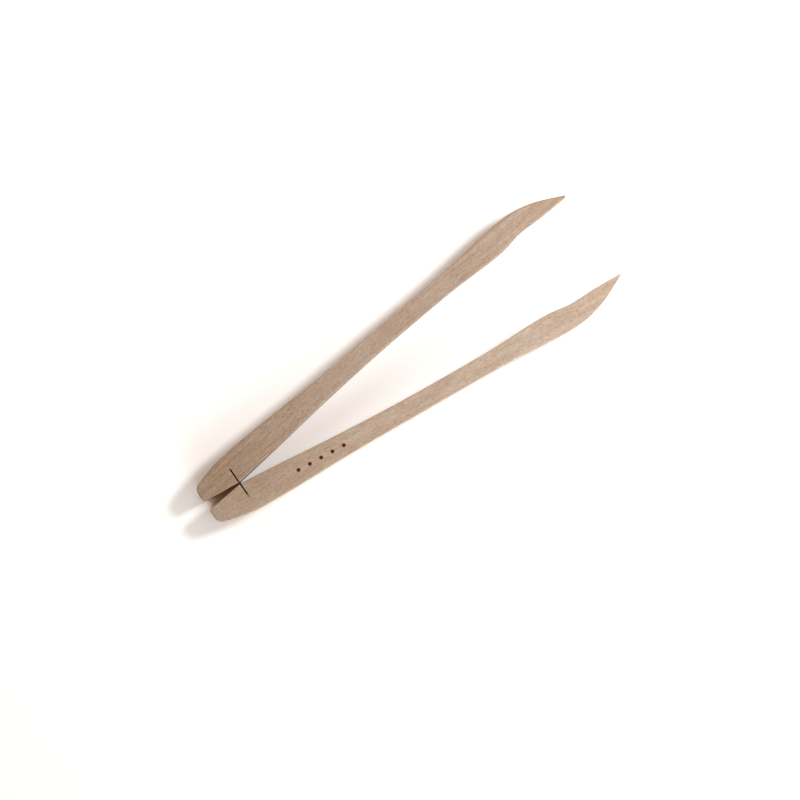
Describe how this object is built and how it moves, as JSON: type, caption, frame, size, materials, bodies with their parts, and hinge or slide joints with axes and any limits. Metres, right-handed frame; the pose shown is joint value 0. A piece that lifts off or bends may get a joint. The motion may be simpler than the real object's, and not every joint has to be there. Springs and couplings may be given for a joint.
{
  "type": "print tongs",
  "caption": "Flat wooden print tongs: two curved mirror-image arms joined by a thin spring-steel leaf, tapering to inturned tips.",
  "frame": {"origin": "middle of the underside of the bounding box, with the tongs lying flat and half open", "axes": "+X along the tongs from the tails to the tips, +Y from the lower arm to the upper arm, +Z through the board thickness, up from the surface the tongs lie on"},
  "size_m": [0.28, 0.078, 0.018],
  "materials": {
    "beech": "matte",
    "spring_steel": "satin",
    "glue": "gloss"
  },
  "bodies": {
    "lower_arm": {"lower_arm": "beech", "lower_glue_bed": "glue", "leaf_spring": "spring_steel"},
    "upper_arm": {"upper_arm": "beech", "upper_glue_bed": "glue"}
  },
  "joints": [
    {"name": "leaf_hinge", "type": "hinge", "parent": "lower_arm", "child": "upper_arm", "pos_m": [-0.116, 0, 0.009], "axis": [0, 0, 1], "range_deg": [-12.4, 13.5], "stiffness_Nm_per_rad": 2.2, "deforming": ["leaf_spring"]}
  ]
}
